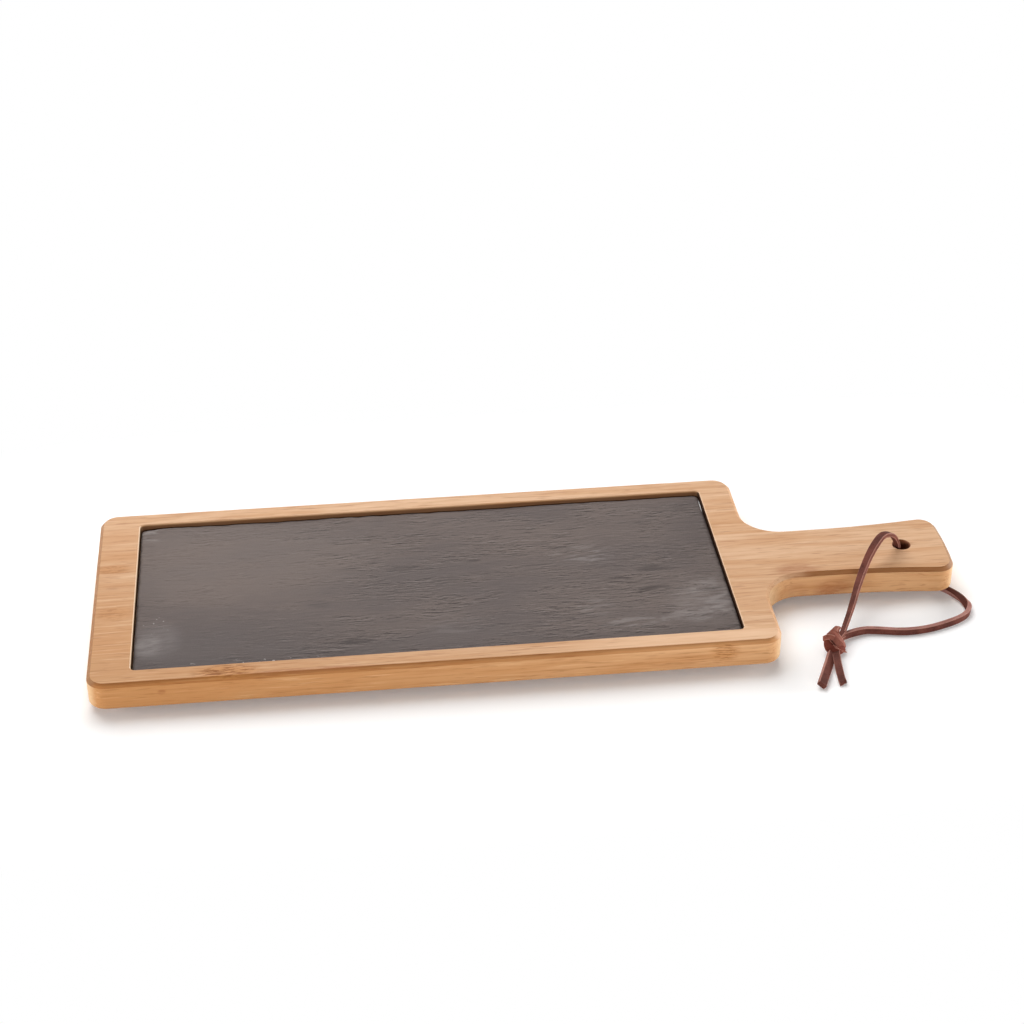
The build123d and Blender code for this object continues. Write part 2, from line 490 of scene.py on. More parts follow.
# Dashes crowd together in patches, thin out in the smooth area and stay close in the rough one.
PATCH_RANGE = (0.40, 0.60)
PATCH_LEAST = 0.22
SMOOTH_SHARE = 0.60
ROUGH_SHARE = 0.55

# Areas and marks on the slate's top: each has a place and a reach in X and Y, and a mark its strength.
AREA_DEPTH = 0.010
MARK_DEPTH = 0.004
PALE_CORNER = ((-0.150, 0.030), (0.110, 0.050))
DARK_CORNER = ((-0.150, -0.055), (0.120, 0.040))
SMOOTH_AREA = ((-0.165, 0.000), (0.100, 0.090))
ROUGH_AREA = ((0.060, -0.015), (0.075, 0.070))
BLOOMS = (
    ((-0.1855, -0.0415), (0.009, 0.012), 0.18),
    ((-0.181, -0.0375), (0.015, 0.019), 0.11),
    ((0.083, -0.0340), (0.022, 0.024), 0.12),
)
DARK_STREAKS = (
    ((0.063, -0.0034), (0.012, 0.0034), 0.60),
    ((0.044, -0.0119), (0.010, 0.0034), 0.55),
    ((0.061, -0.0210), (0.012, 0.0034), 0.60),
    ((-0.062, 0.0103), (0.009, 0.0034), 0.50),
    ((-0.086, -0.0489), (0.011, 0.0034), 0.55),
    ((-0.103, -0.0159), (0.007, 0.0034), 0.45),
    ((-0.027, 0.0143), (0.007, 0.0034), 0.45),
)
SCUFFS = (
    ((0.078, -0.0450), (0.028, 0.0085), 0.135),
    ((0.088, -0.0290), (0.014, 0.024), 0.150),
    ((0.046, -0.0480), (0.024, 0.006), 0.180),
    ((0.030, -0.0330), (0.012, 0.012), 0.105),
    ((0.030, 0.0120), (0.022, 0.012), 0.165),
    ((-0.040, -0.0400), (0.018, 0.012), 0.075),
    ((-0.186, 0.0565), (0.012, 0.009), 0.270),
)
SPECKS = (
    ((-0.182, -0.0250), (0.008, 0.010), 0.70),
    ((-0.135, -0.0600), (0.050, 0.004), 0.70),
)
GLINT = ((0.0967, 0.0520, 0.0144), (0.0005, 0.0065, 0.004))


class Slate(Finish):
    """A split face of grey stone, with crowds of short dashes along X, painted as the shade and light of
    low ledges, and a sawn edge.
    """

    def __init__(self):
        super().__init__("slate")
        self.cloud = self.grain(CLOUD_SIZE, detail=4.0, roughness=0.55)
        self.wavy = self.joined(
            self.x, self.math("MULTIPLY_ADD", self.grain(SWAY_SIZE), SWAY, self.y), self.z)
        self.streak = self.grain(STREAK_SIZE, self.wavy, **FINE_NOISE)

        crowd = self.fade(self.grain(PATCH_SIZE, detail=3.0), *PATCH_RANGE, start=PATCH_LEAST)
        smooth = self.product(self.on_top(*SMOOTH_AREA, AREA_DEPTH), SMOOTH_SHARE)
        rough = self.product(self.on_top(*ROUGH_AREA, AREA_DEPTH), ROUGH_SHARE)
        self.crowd = self.math("MAXIMUM", self.product(crowd, self.besides(smooth)), rough)

    def on_top(self, place, reach, depth):
        """1 round a place on the top, falling to 0 at its reach in X and Y and at a depth."""
        return self.spot((*place, slate_high.z), (*reach, depth))

    def ground(self):
        """A cloudy grey, paler at the back left and darker at the front left."""
        colour = self.mix(self.fade(self.cloud, *CLOUD_RANGE), SLATE_DARK, SLATE_LIGHT)
        pale = self.on_top(*PALE_CORNER, AREA_DEPTH)
        colour = self.laid(colour, SLATE_LAYERS["pale corner"], pale)
        dark = self.on_top(*DARK_CORNER, AREA_DEPTH)
        return self.laid(colour, SLATE_LAYERS["dark corner"], dark)

    def dashes(self, colour):
        """Painted shade and painted light of ledges and hairlines: dark on the side that falls to the
        front and pale on the other.
        """
        ledge = self.slope(LEDGE_SIZE, self.wavy, LEDGE_REACH)
        hair = self.slope(HAIR_SIZE, self.wavy, HAIR_REACH)
        for layer, pattern in (
            ("ledge", self.fade(ledge, *LEDGE_SHADE_RANGE)),
            ("pale ledge", self.fade(ledge, *LEDGE_HIGHLIGHT_RANGE)),
            ("hair", self.fade(hair, *HAIR_SHADE_RANGE)),
            ("pale hair", self.fade(hair, *HAIR_HIGHLIGHT_RANGE)),
            ("shade", self.fade(self.streak, *SHADE_RANGE)),
        ):
            colour = self.laid(colour, SLATE_LAYERS[layer], pattern, self.crowd)
        return colour

    def edge(self, colour):
        """The sawn edge is darker than the top, in an uneven line: partly the edge's own tone and partly
        painted shade from the gap beside it.
        """
        past_end = self.math("SUBTRACT", self.apart(self.x, slate_middle.x), slate_half.x)
        past_side = self.math("SUBTRACT", self.apart(self.y, slate_middle.y), slate_half.y)
        past = self.math("MAXIMUM", past_end, past_side)
        ragged = self.math("MULTIPLY_ADD", self.grain(RAGGED_SIZE, detail=3.0), RAGGED, past)
        return self.laid(colour, SLATE_LAYERS["edge"], self.fade(ragged, *EDGE_TONE_AND_SHADE_LINE))

    def marks(self, colour):
        """Dusty blooms, darker streaks, scuffs and specks, and one glint at the right edge."""
        smear = self.grain(SMEAR_SIZE, self.wavy, **ROUGH_NOISE)
        fleck = self.grain(FLECK_SIZE, detail=1.0)
        for layer, group, pattern in (
            ("bloom", BLOOMS, self.fade(smear, *BLOOM_RANGE, start=BLOOM_LEAST)),
            ("streak", DARK_STREAKS, self.fade(self.streak, *STREAK_RANGE)),
            ("scuff", SCUFFS, self.fade(smear, *SCUFF_RANGE)),
            ("speck", SPECKS, self.fade(fleck, *SPECK_RANGE)),
        ):
            for place, reach, strength in group:
                mark = self.product(self.on_top(place, reach, MARK_DEPTH), strength)
                colour = self.laid(colour, SLATE_LAYERS[layer], mark, pattern)
        return self.laid(colour, SLATE_LAYERS["glint"], self.spot(*GLINT))

    def finished(self):
        grit = self.product(self.grain(GRIT_SIZE), GRIT_SHARE)
        relief = self.math("ADD", self.product(self.streak, self.crowd), grit)
        return self.done(
            Base_Color=self.marks(self.edge(self.dashes(self.ground()))),
            Roughness=self.fade(self.cloud, 0.3, 0.7, start=0.58, end=0.74),
            Specular_IOR_Level=0.25,
            Normal=self.bump(relief, distance=0.0008, strength=0.7),
        )


# Rubber and leather
SPECKLE_SIZE = (0.0009, 0.0009, 0.0009)
RUBBER_DARK = srgb(46, 45, 44)
RUBBER_LIGHT = srgb(70, 68, 66)
PORE_SIZE = (0.0007, 0.0007, 0.0007)
PORE_RANGE = (0.45, 0.30)
PORE_STRENGTH = 0.55
HIDE_SIZE = (0.006, 0.006, 0.006)
HIDE_RANGE = (0.3, 0.7)
WORN_RANGE = (0.70, 1.0)
WORN_STRENGTH = 0.70

# For each leather: its darker and lighter tones, its pores, and its worn edges
LEATHER_TONES = {
    "face": (srgb(84, 44, 36), srgb(108, 60, 50), srgb(48, 22, 17), srgb(176, 126, 112)),
    "cut": (srgb(142, 96, 86), srgb(166, 120, 110), srgb(104, 62, 54), srgb(190, 148, 138)),
    # A darker copy of the cut leather: painted shade on cut sides turned away from the light.
    "side": (srgb(104, 58, 46), srgb(128, 76, 62), srgb(62, 30, 22), srgb(196, 146, 128)),
    "fold": (srgb(126, 70, 57), srgb(148, 90, 76), srgb(84, 41, 32), srgb(184, 132, 116)),
    "deep": (srgb(98, 42, 31), srgb(122, 58, 45), srgb(58, 22, 16), srgb(150, 92, 76)),
    # Near-black leather for a band that paints the shadow in a crease of the knot.
    "crease_shadow": (srgb(70, 31, 23), srgb(84, 40, 30), srgb(48, 19, 14), srgb(96, 50, 38)),
}
FACE_TONE, CUT_TONE, SHADED_CUT_TONE, FOLD_TONE, DEEP_TONE, CREASE_SHADOW_TONE = range(len(LEATHER_TONES))


def rubber():
    finish = Finish("rubber")
    speckle = finish.grain(SPECKLE_SIZE, detail=3.0)
    return finish.done(
        Base_Color=finish.mix(speckle, RUBBER_DARK, RUBBER_LIGHT),
        Roughness=finish.fade(speckle, 0.3, 0.7, start=0.6, end=0.8),
        Specular_IOR_Level=0.3,
        Normal=finish.bump(speckle, distance=0.00008, strength=0.5),
    )


def leather(name, dark, light, pore, worn):
    """Lace leather between two tones, with a fine grain, darker pores and paler, worn edges."""
    finish = Finish(f"leather_{name}")
    pores = finish.grain(PORE_SIZE, detail=3.0, roughness=0.65)
    hide = finish.grain(HIDE_SIZE)
    edge = finish.add("ShaderNodeAttribute", attribute_name="edge").outputs["Fac"]
    colour = finish.mix(finish.fade(hide, *HIDE_RANGE), dark, light)
    colour = finish.laid(colour, (worn, WORN_STRENGTH), finish.fade(edge, *WORN_RANGE))
    colour = finish.laid(colour, (pore, PORE_STRENGTH), finish.fade(pores, *PORE_RANGE))
    return finish.done(
        Base_Color=colour,
        Roughness=finish.fade(pores, 0.3, 0.7, start=0.80, end=0.62),
        Specular_IOR_Level=0.15,
        Normal=finish.bump(pores, distance=0.00012, strength=0.7),
    )


BAMBOO = Bamboo().finished()
SLATE = Slate().finished()
RUBBER = rubber()
LEATHERS = [leather(name, *tones) for name, tones in LEATHER_TONES.items()]

# Objects
SHARP_ANGLE = math.radians(38)


def dress(obj, *materials):
    """These materials, and no others, on an object."""
    obj.data.materials.clear()
    for material in materials:
        obj.data.materials.append(material)


def mesh_object(name, points, faces, materials):
    """A smooth-shaded mesh with sharp edges where it turns sharply."""
    mesh = bpy.data.meshes.new(name)
    mesh.from_pydata([tuple(point) for point in points], [], faces)
    mesh.update()
    mesh.shade_smooth()
    mesh.set_sharp_from_angle(angle=SHARP_ANGLE)
    obj = bpy.data.objects.new(name, mesh)
    bpy.context.scene.collection.objects.link(obj)
    dress(obj, *materials)
    return obj


# CAD nodes that keep their shape
dress(nodes["bamboo_board"], BAMBOO)
for corner in ("front_left", "front_right", "back_left", "back_right"):
    dress(nodes[f"foot_{corner}"], RUBBER)

# Slate plate: the grid of its top, which is closer at the edges, and its corners
SLATE_CORNER = 0.0034
SLATE_COLUMN = 0.0013
SLATE_ROW = 0.0005
EDGE_STEPS = (0.0, 0.0004, 0.0009, 0.0015, 0.0022)
TOP_ROOM = 0.0002

# Its split top: each form has the size of its grains in X and Y and a place in the noise
SWELL = {"size": (0.075, 0.040), "seed": 1.7}
LAYERS = {"size": (0.085, 0.020), "seed": 5.3}
ROUGHNESS = {"size": (0.050, 0.018), "seed": 9.1}
RIDGES = {"size": (0.010, 0.0027), "seed": 3.3}
CHIPS = {"size": (0.006, 0.006), "seed": 2.2}
SWELL_HEIGHT = 0.00008
LAYER_COUNT = 2.4
LAYER_HEIGHT = 0.00014
LAYER_STEP = (0.30, 0.55)
ROUGH_RANGE = (-0.10, 0.50)
RIDGE_HEIGHT = 0.00030
RIDGE_POWER = 3

# For the swell and the layers: how fast the octaves fade, how much finer each is, and their number
SWELL_OCTAVES = (1.0, 2.0, 3)
LAYER_OCTAVES = (0.9, 2.1, 5)

# Its chipped edge, with the middle value and the spread of each size, and one worn corner
CHIP_WIDTH = 0.0013
CHIP_WIDTH_SPREAD = 0.0009
CHIP_DROP = 0.0004
CHIP_DROP_SPREAD = 0.0003
WORN_CORNER = Vector((-0.1899, 0.0605))
WORN_REACH = (0.002, 0.008)
WORN_DROP = 0.0004


def spread(low, high, step):
    """Places from low to high, about a step apart, closer at both ends."""
    inner_low, inner_high = low + EDGE_STEPS[-1], high - EDGE_STEPS[-1]
    count = round((inner_high - inner_low) / step)
    middle = [inner_low + (inner_high - inner_low) * index / count for index in range(1, count)]
    return [low + edge for edge in EDGE_STEPS] + middle + [high - edge for edge in reversed(EDGE_STEPS)]


def smooth_step(value, low, high):
    share = min(max((value - low) / (high - low), 0.0), 1.0)
    return share * share * (3 - 2 * share)


def noise_place(x, y, size, seed):
    """Where a point of the top lies in a noise with grains of this size."""
    return Vector((x / size[0], y / size[1], seed))


def cleft(x, y):
    """Height of the split top over its middle level: a slow swell, low steps and short ridges."""
    swell = noise.fractal(noise_place(x, y, **SWELL), *SWELL_OCTAVES)
    layers = LAYER_COUNT * noise.fractal(noise_place(x, y, **LAYERS), *LAYER_OCTAVES)
    level = math.floor(layers)
    steps = level + smooth_step(layers - level, *LAYER_STEP)
    rough = smooth_step(noise.noise(noise_place(x, y, **ROUGHNESS)), *ROUGH_RANGE)
    ridge = (1 - abs(noise.noise(noise_place(x, y, **RIDGES)))) ** RIDGE_POWER
    return SWELL_HEIGHT * swell + LAYER_HEIGHT * steps + RIDGE_HEIGHT * rough * ridge


def edge_drop(x, y, place):
    """How far the top falls at the chipped edge and at the worn corner."""
    from_edge = min(x - slate_low.x, slate_high.x - x, y - slate_low.y, slate_high.y - y)
    wander = noise.noise(noise_place(x, y, **CHIPS))
    width = CHIP_WIDTH + CHIP_WIDTH_SPREAD * wander
    chip = (CHIP_DROP + CHIP_DROP_SPREAD * wander) * (1 - smooth_step(from_edge, 0.0, width))
    worn = WORN_DROP * (1 - smooth_step((place - WORN_CORNER).length, *WORN_REACH))
    return chip + worn


def rounded(x, y):
    """A point of the square grid, drawn in where the plate's corners are round."""
    place = Vector((x, y))
    corner = Vector((
        slate_middle.x + math.copysign(slate_half.x - SLATE_CORNER, x - slate_middle.x),
        slate_middle.y + math.copysign(slate_half.y - SLATE_CORNER, y - slate_middle.y),
    ))
    out = place - corner
    if out.x * (x - slate_middle.x) > 0 and out.y * (y - slate_middle.y) > 0:
        place = corner + out * max(abs(out.x), abs(out.y)) / out.length
    return place


def slate_plate():
    """The plate as one closed mesh, inside its CAD solid."""
    columns = spread(slate_low.x, slate_high.x, SLATE_COLUMN)
    rows = spread(slate_low.y, slate_high.y, SLATE_ROW)
    level = slate_high.z - TOP_ROOM
    points = []
    for y in rows:
        for x in columns:
            place = rounded(x, y)
            points.append(Vector((*place, level + cleft(x, y) - edge_drop(x, y, place))))
    wide, deep = len(columns), len(rows)
    faces = []
    for row in range(deep - 1):
        for column in range(wide - 1):
            start = row * wide + column
            faces.append((start, start + 1, start + wide + 1, start + wide))
    rim = list(range(wide))
    rim += [row * wide + wide - 1 for row in range(1, deep)]
    rim += [(deep - 1) * wide + column for column in range(wide - 2, -1, -1)]
    rim += [row * wide for row in range(deep - 2, 0, -1)]
    foot = len(points)
    points += [Vector((points[index].x, points[index].y, slate_low.z)) for index in rim]
    for step in range(len(rim)):
        after = (step + 1) % len(rim)
        faces.append((rim[after], rim[step], foot + step, foot + after))
    faces.append(tuple(foot + step for step in reversed(range(len(rim)))))
    return mesh_object("slate_riven", points, faces, (SLATE,))


slate_piece = slate_plate()
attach(slate_piece, "slate")
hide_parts("slate_plate")

# Leather lace
LACE_CORNER = 0.00022
FACE_STEPS = (0.84, 0.4, 0.0, -0.4, -0.84)
FOLD_PLACE = 0.4
PINCH_POWER = 3
UNEVEN = 0.05
UNEVEN_SIZE = 0.006
TABLE_GAP = 0.0001
ROUTE_STEPS = 10

# Each route is a list of points, and the way that the lace's width lies at each of them.
UPPER_ROUTE = (
    (0.1882, -0.0004, 0.0100),
    (0.1882, -0.0004, 0.0155),
    (0.1862, -0.0015, 0.0214),
    (0.1830, -0.0048, 0.0264),
    (0.1799, -0.0083, 0.0293),
    (0.1761, -0.0112, 0.0308),
    (0.1719, -0.0155, 0.0290),
    (0.1679, -0.0192, 0.0245),
    (0.1643, -0.0233, 0.0187),
    (0.1602, -0.0303, 0.0145),
    (0.1561, -0.0390, 0.0105),
    (0.1519, -0.0472, 0.0074),
    (0.1474, -0.0560, 0.0056),
)
UPPER_ACROSS = (
    (0.64, -0.77, 0.0),
    (0.64, -0.77, 0.0),
    (0.62, -0.78, 0.05),
    (0.60, -0.79, 0.10),
    (0.59, -0.79, 0.15),
    (0.59, -0.79, 0.16),
    (0.59, -0.79, 0.17),
    (0.61, -0.76, 0.22),
    (0.64, -0.70, 0.32),
    (0.67, -0.62, 0.40),
    (0.70, -0.55, 0.45),
    (0.70, -0.54, 0.46),
    (0.70, -0.54, 0.46),
)
UPPER_FORM = {
    "width": 0.0041,
    "thickness": 0.0022,
    "sizes": (0.72, 0.72, 0.78, 0.88, 0.97, 1.0, 1.0, 0.97, 0.92, 0.86, 0.79, 0.73, 0.68),
    "side_tone": SHADED_CUT_TONE,
}
LOWER_ROUTE = (
    (0.1882, -0.0004, 0.0100),
    (0.1882, -0.0004, 0.0013),
    (0.1981, -0.0102, 0.0013),
    (0.2072, -0.0170, 0.0013),
    (0.2124, -0.0240, 0.0014),
    (0.2152, -0.0305, 0.0015),
    (0.2160, -0.0366, 0.0017),
    (0.2136, -0.0419, 0.0017),
    (0.2089, -0.0456, 0.0017),
    (0.2016, -0.0490, 0.0017),
    (0.1912, -0.0525, 0.0017),
    (0.1792, -0.0536, 0.0017),
    (0.1676, -0.0510, 0.0017),
    (0.1578, -0.0497, 0.0020),
    (0.1480, -0.0552, 0.0028),
)
LOWER_ACROSS = (
    (0.71, 0.71, 0.0),
    (0.71, 0.71, 0.0),
    (0.67, 0.74, 0.0),
    (0.70, 0.71, 0.0),
    (0.80, 0.58, 0.15),
    (0.75, 0.30, 0.55),
    (0.30, 0.05, 0.95),
    (0.0, 0.0, 1.0),
    (0.0, 0.0, 1.0),
    (0.0, 0.0, 1.0),
    (0.0, 0.0, 1.0),
    (0.0, 0.0, 1.0),
    (0.0, 0.0, 1.0),
    (0.0, 0.0, 1.0),
    (0.0, 0.2, 1.0),
)
LOWER_FORM = {"width": 0.0035, "thickness": 0.0023}
LEFT_TAIL_ROUTE = (
    (0.1421, -0.0610, 0.0020),
    (0.1405, -0.0656, 0.0020),
    (0.1376, -0.0726, 0.0022),
    (0.1342, -0.0805, 0.0023),
    (0.1313, -0.0870, 0.0023),
    (0.1291, -0.0921, 0.0023),
)
LEFT_TAIL_ACROSS = ((0.78, -0.31, -0.54),) * len(LEFT_TAIL_ROUTE)
LEFT_TAIL_FORM = {"width": 0.0042, "thickness": 0.0024, "slant": 0.05}
RIGHT_TAIL_ROUTE = (
    (0.1432, -0.0600, 0.0026),
    (0.1420, -0.0655, 0.0022),
    (0.1410, -0.0715, 0.0030),
    (0.1402, -0.0785, 0.0028),
    (0.1399, -0.0850, 0.0018),
    (0.1398, -0.0880, 0.0013),
    (0.1399, -0.0903, 0.00125),
)
RIGHT_TAIL_ACROSS = ((1.0, -0.05, 0.25),) * len(RIGHT_TAIL_ROUTE)
RIGHT_TAIL_FORM = {"width": 0.0036, "thickness": 0.0020, "slant": -0.45, "side_tone": SHADED_CUT_TONE}


def smooth_line(route):
    """Points along the smooth line that a route's points control."""
    curve = bpy.data.curves.new("route", "CURVE")
    curve.dimensions = "3D"
    spline = curve.splines.new("NURBS")
    spline.points.add(len(route) - 1)
    for point, place in zip(spline.points, route):
        point.co = (*place, 1.0)
    spline.order_u = 3
    spline.use_endpoint_u = True
    spline.resolution_u = ROUTE_STEPS
    holder = bpy.data.objects.new("route", curve)
    line = bpy.data.meshes.new_from_object(holder)
    points = [vertex.co.copy() for vertex in line.vertices]
    bpy.data.objects.remove(holder)
    bpy.data.curves.remove(curve)
    bpy.data.meshes.remove(line)
    return points


def lace_section(width, thickness, crown, fold):
    """
    Points round a lace's section, each as its place across, its height, 1 at the corners and 0
    elsewhere, and whether a cut side starts there. The crown is how far the middle stands out over
    the two cut sides, and the fold is how steeply one side of the lace bends back.
    """
    half_width, half_thickness = width / 2 - LACE_CORNER, thickness / 2 - LACE_CORNER

    def bent(across, rise, corner=0.0, cut=False):
        """A point of the section, raised by the crown and lowered by the fold."""
        rise += crown * (1 - (2 * across / width) ** 2)
        rise -= fold * max(across - FOLD_PLACE * half_width, 0.0)
        return (across, rise, corner, cut)

    points = []
    for out, up in ((1, 1), (-1, 1), (-1, -1), (1, -1)):
        on_side = {"across": out * width / 2, "rise": up * half_thickness, "corner": 1.0}
        on_face = {"across": out * half_width, "rise": up * thickness / 2, "corner": 1.0}
        if out == up:
            points += [bent(**on_side), bent(**on_face)]
            points += [bent(out * share * half_width, up * thickness / 2) for share in FACE_STEPS]
        else:
            points += [bent(**on_face), bent(**on_side, cut=True), bent(out * width / 2, 0.0, cut=True)]
    return points


def lace_shape(
    route, across, width, thickness, sizes=None, slant=0.0, pinch=0.0, crown=0.0, fold=0.0,
    tone=FACE_TONE, side_tone=CUT_TONE,
):
    """
    The points, corner shares, faces and tones of a flat lace along a route, and its middle line.
    The sizes scale the section at the route's points, the far end is cut aslant by a share of the
    width, both ends narrow by the pinch, and what would lie under the table rests on it.
    """
    line = smooth_line(route)
    sides = smooth_line(across)
    scales = smooth_line([(size, 0.0, 0.0) for size in sizes or (1.0,) * len(route)])
    section = lace_section(width, thickness, crown, fold)
    count = len(section)
    last = len(line) - 1
    points, corners, faces, tones = [], [], [], []
    for index, here in enumerate(line):
        along = (line[min(index + 1, last)] - line[max(index - 1, 0)]).normalized()
        side = (sides[index] - sides[index].project(along)).normalized()
        up = along.cross(side)
        size = scales[index].x
        narrow = 1 - pinch * abs(2 * index / last - 1) ** PINCH_POWER
        breadth = size * narrow * (1 + UNEVEN * noise.noise(here / UNEVEN_SIZE))
        skew = slant if index == last else 0.0
        for out, rise, corner, _ in section:
            point = here + side * (out * breadth) + up * (rise * size) + along * (skew * out)
            point.z = max(point.z, TABLE_GAP)
            points.append(point)
            corners.append(corner)
    for ring in range(last):
        start = ring * count
        for step, (_, _, _, cut) in enumerate(section):
            after = (step + 1) % count
            faces.append((start + step, start + after, start + count + after, start + count + step))
            tones.append(side_tone if cut else tone)
    faces.append(tuple(reversed(range(count))))
    faces.append(tuple(last * count + step for step in range(count)))
    tones += [tone, tone]
    return {"points": points, "corners": corners, "faces": faces, "tones": tones, "line": line}


def lace_object(name, *shapes):
    """One object of one or more laces."""
    points, corners, faces, tones = [], [], [], []
    for shape in shapes:
        first = len(points)
        points += shape["points"]
        corners += shape["corners"]
        faces += [tuple(first + index for index in face) for face in shape["faces"]]
        tones += shape["tones"]
    obj = mesh_object(name, points, faces, LEATHERS)
    obj.data.attributes.new("edge", "FLOAT", "POINT").data.foreach_set("value", corners)
    for face, tone in zip(obj.data.polygons, tones):
        face.material_index = tone
    return obj


upper_shape = lace_shape(UPPER_ROUTE, UPPER_ACROSS, **UPPER_FORM)
lower_shape = lace_shape(LOWER_ROUTE, LOWER_ACROSS, **LOWER_FORM)
left_tail_shape = lace_shape(LEFT_TAIL_ROUTE, LEFT_TAIL_ACROSS, **LEFT_TAIL_FORM)
right_tail_shape = lace_shape(RIGHT_TAIL_ROUTE, RIGHT_TAIL_ACROSS, **RIGHT_TAIL_FORM)
upper_strand = lace_object("lace_upper", upper_shape)
lower_strand = lace_object("lace_lower", lower_shape)
left_tail = lace_object("lace_tail_left", left_tail_shape)
right_tail = lace_object("lace_tail_right", right_tail_shape)

# Knot: each band is a route from the knot's middle with the way its width lies, and its form
KNOT_PLACE = Vector((0.1431, -0.0593, 0.0042))
FRONT_FOLD = (
    (
        ((0.0010, 0.0030, 0.0044), (0.77, 0.37, 0.52)),
        ((-0.0026, 0.0003, 0.0047), (0.76, 0.29, 0.58)),
        ((-0.0017, -0.0030, 0.0040), (0.76, 0.29, 0.58)),
        ((-0.0002, -0.0048, 0.0026), (0.76, 0.29, 0.58)),
        ((0.0013, -0.0053, 0.0009), (0.72, 0.32, 0.61)),
        ((0.0033, -0.0042, -0.0020), (0.65, 0.36, 0.67)),
        ((0.0040, -0.0020, -0.0032), (0.65, 0.36, 0.67)),
    ),
    {
        "width": 0.0058,
        "thickness": 0.0014,
        "sizes": (1.0, 1.0, 1.0, 0.96, 0.9, 0.82, 0.8),
        "pinch": 0.15,
        "crown": 0.0003,
        "fold": 0.95,
        "tone": FOLD_TONE,
        "side_tone": FOLD_TONE,
    },
)
COLLAR = (
    (
        ((-0.0033, -0.0010, 0.0025), (0.99, -0.11, -0.01)),
        ((-0.0045, -0.0030, 0.0010), (1.0, -0.05, 0.08)),
        ((-0.0043, -0.0060, -0.0003), (0.83, 0.23, 0.50)),
        ((-0.0025, -0.0073, -0.0012), (0.21, 0.51, 0.84)),
        ((0.0001, -0.0073, -0.0014), (0.06, 0.53, 0.85)),
        ((0.0025, -0.0053, -0.0016), (-0.13, 0.54, 0.83)),
    ),
    {
        "width": 0.0046,
        "thickness": 0.0016,
        "pinch": 0.20,
        "crown": 0.0008,
        "tone": DEEP_TONE,
        # Painted shade: its cut sides take the darker face leather.
        "side_tone": FACE_TONE,
    },
)
TOP_STRIP = (
    (
        ((-0.0060, -0.0010, 0.0017), (0.26, 0.50, 0.83)),
        ((-0.0050, -0.0026, 0.0036), (0.26, 0.50, 0.83)),
        ((-0.0034, -0.0034, 0.0043), (0.06, 0.53, 0.85)),
        ((-0.0018, -0.0042, 0.0038), (-0.13, 0.54, 0.83)),
    ),
    {"width": 0.0026, "thickness": 0.0012, "tone": FOLD_TONE, "side_tone": FACE_TONE},
)
# A thin dark band that paints the shadow in the crease under the front fold.
CREASE_SHADOW = (
    (
        ((-0.0037, -0.0042, 0.0034), (0.50, 0.43, 0.75)),
        ((-0.0027, -0.0054, 0.0024), (0.79, 0.27, 0.55)),
        ((-0.0015, -0.0064, 0.0010), (0.79, 0.27, 0.55)),
        ((0.0002, -0.0069, -0.0006), (0.56, 0.40, 0.72)),
    ),
    {
        "width": 0.0009,
        "thickness": 0.0010,
        "sizes": (0.5, 1.0, 1.0, 0.4),
        "tone": CREASE_SHADOW_TONE,
        "side_tone": CREASE_SHADOW_TONE,
    },
)
LOOSE_EDGE = (
    (
        ((-0.0026, -0.0067, 0.0019), (0.83, 0.23, 0.50)),
        ((-0.0013, -0.0078, 0.0005), (0.79, 0.27, 0.55)),
        ((0.0007, -0.0079, -0.0011), (0.35, 0.48, 0.81)),
        ((0.0028, -0.0071, -0.0023), (0.16, 0.52, 0.84)),
        ((0.0043, -0.0069, -0.0030), (0.16, 0.52, 0.84)),
    ),
    {
        "width": 0.0012,
        "thickness": 0.0010,
        "sizes": (0.4, 0.7, 1.0, 0.8, 0.3),
        "tone": FOLD_TONE,
        "side_tone": CUT_TONE,
    },
)
UPPER_END = (
    (
        ((0.0043, 0.0033, 0.0014), (0.85, -0.45, 0.10)),
        ((0.0026, 0.0012, 0.0010), (0.85, -0.45, 0.10)),
        ((0.0006, -0.0010, 0.0002), (0.85, -0.45, 0.10)),
        ((0.0, -0.0024, -0.0003), (0.85, -0.45, 0.10)),
    ),
    {"width": 0.0028, "thickness": 0.0018, "side_tone": SHADED_CUT_TONE},
)
LOWER_END = (
    (
        ((0.0049, 0.0041, -0.0014), (0.80, -0.55, 0.10)),
        ((0.0026, 0.0022, -0.0019), (0.80, -0.55, 0.10)),
        ((0.0006, 0.0004, -0.0023), (0.80, -0.55, 0.10)),
        ((-0.0010, -0.0017, -0.0025), (0.80, -0.55, 0.10)),
    ),
    {"width": 0.0032, "thickness": 0.0022, "side_tone": SHADED_CUT_TONE},
)


def knot_band(stations, form):
    route = [KNOT_PLACE + Vector(offset) for offset, _ in stations]
    return lace_shape(route, [across for _, across in stations], **form)


KNOT_BANDS = (FRONT_FOLD, COLLAR, TOP_STRIP, CREASE_SHADOW, LOOSE_EDGE, UPPER_END, LOWER_END)
knot = lace_object("lace_knot_tied", *(knot_band(*band) for band in KNOT_BANDS))

for piece, node in (
    (upper_strand, "lace_upper_strand"),
    (lower_strand, "lace_lower_strand"),
    (left_tail, "lace_left_tail"),
    (right_tail, "lace_right_tail"),
    (knot, "lace_knot"),
):
    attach(piece, "board")
    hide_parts(node)


# Lamps: each has its place, what it is aimed at, its size and its power in watts
LAMPS = {
    "softbox": ((-0.22, 0.80, 1.12), (0.0, 0.0, 0.0), (1.5, 1.3), 25.0),
    "front_low": ((0.0, -1.2, 0.32), (0.0, 0.0, 0.01), (1.8, 0.2), 10.0),
    "right_side": ((1.15, 0.10, 0.15), (0.0, 0.0, 0.01), (0.6, 0.3), 10.0),
    "left_side": ((-1.15, 0.0, 0.15), (0.0, 0.0, 0.01), (0.6, 0.3), 6.5),
}


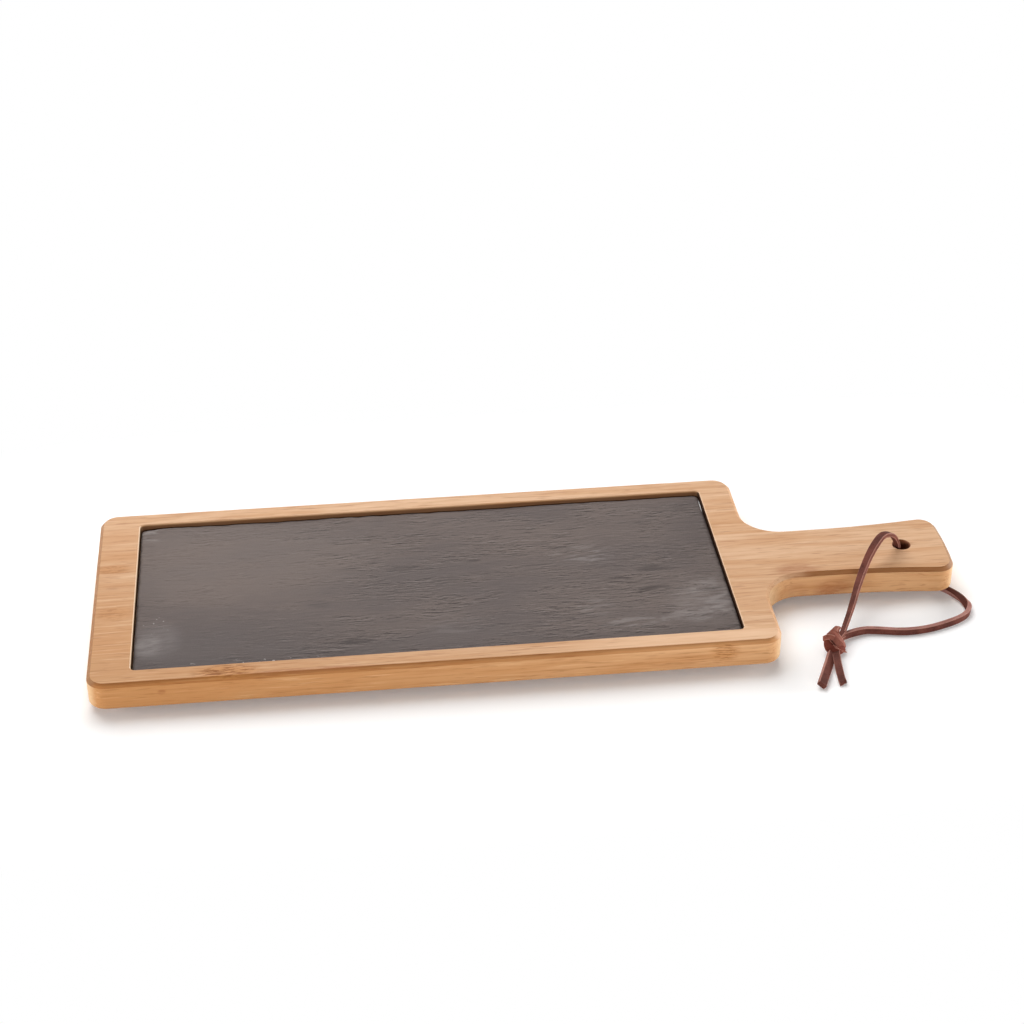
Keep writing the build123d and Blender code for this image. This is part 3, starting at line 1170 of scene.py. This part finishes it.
def aim(obj, place, target, roll=0.0):
    """Puts a camera or a lamp at a place, looking at a target."""
    turn = (target - place).to_track_quat("-Z", "Y").to_matrix().to_4x4()
    obj.matrix_world = Matrix.Translation(place) @ turn @ Matrix.Rotation(roll, 4, "Z")


def lamp(name, place, target, size, power):
    """A soft rectangular lamp."""
    light = bpy.data.lights.new(name, "AREA")
    light.shape = "RECTANGLE"
    light.size, light.size_y = size
    light.energy = power
    obj = bpy.data.objects.new(name, light)
    bpy.context.scene.collection.objects.link(obj)
    aim(obj, Vector(place), Vector(target))
    obj.visible_camera = False


for lamp_name, lamp_setting in LAMPS.items():
    lamp(lamp_name, *lamp_setting)

# Floor and world
WHITE = (1.0, 1.0, 1.0, 1.0)
AMBIENT = 0.10
FLOOR_TONE = (0.95, 0.945, 0.94, 1.0)
FLOOR_HALF = 4.0
FLOOR_LIFT = 0.08
FLOOR_REACH = (0.31, 0.15)
FLOOR_FADE = (0.8, 1.25)
FLOOR_POWER = 4.0


def floor():
    """A pale floor that keeps soft shadows near the board and is plain white further off."""
    finish = Finish("floor")
    powers = [
        finish.math("POWER", finish.apart(finish.math("DIVIDE", place, reach)), FLOOR_POWER)
        for place, reach in zip((finish.x, finish.y), FLOOR_REACH)
    ]
    distance = finish.math("POWER", finish.math("ADD", *powers), 1 / FLOOR_POWER)
    seen = finish.rays("Camera", "Glossy", "Transmission")
    diffuse = finish.add("ShaderNodeBsdfDiffuse", {"Color": FLOOR_TONE})
    lift = finish.add("ShaderNodeEmission", {"Strength": finish.product(seen, FLOOR_LIFT)})
    near_look = finish.add("ShaderNodeAddShader", {0: diffuse.outputs[0], 1: lift.outputs[0]})
    far_look = finish.add("ShaderNodeEmission", {"Strength": 1.0})
    far = finish.product(finish.fade(distance, *FLOOR_FADE), seen)
    look = finish.add("ShaderNodeMixShader", {0: far, 1: near_look.outputs[0], 2: far_look.outputs[0]})
    finish.add("ShaderNodeOutputMaterial", {"Surface": look.outputs[0]})
    corners = [
        (across * FLOOR_HALF, along * FLOOR_HALF, 0.0)
        for across, along in ((-1, -1), (1, -1), (1, 1), (-1, 1))
    ]
    mesh_object("floor", corners, [(0, 1, 2, 3)], (finish.material,))


def studio():
    """A world that looks white and gives a little even light."""
    world = bpy.data.worlds.new("studio")
    bpy.context.scene.world = world
    world.use_nodes = True
    shading = Shading(world.node_tree)
    seen = shading.rays("Camera", "Transmission")
    background = shading.add("ShaderNodeBackground", {
        "Color": WHITE,
        "Strength": shading.fade(seen, 0.0, 1.0, start=AMBIENT),
    })
    shading.add("ShaderNodeOutputWorld", {"Surface": background.outputs[0]})


floor()
studio()

# Camera
CAMERA_PLACE = Vector((-0.09789, -0.89771, 0.61937))
CAMERA_TARGET = Vector((-0.00165, 0.05329, 0.01700))
CAMERA_ROLL = math.radians(-0.4848)
CAMERA_LENS = 76.884
CAMERA_SENSOR = 36.0
CAMERA_NEAR = 0.01

camera = bpy.data.cameras.new("camera")
camera.lens = CAMERA_LENS
camera.sensor_width = CAMERA_SENSOR
camera.clip_start = CAMERA_NEAR
camera_object = bpy.data.objects.new("camera", camera)
bpy.context.scene.collection.objects.link(camera_object)
aim(camera_object, CAMERA_PLACE, CAMERA_TARGET, CAMERA_ROLL)
bpy.context.scene.camera = camera_object
bpy.context.scene.view_settings.view_transform = "Standard"
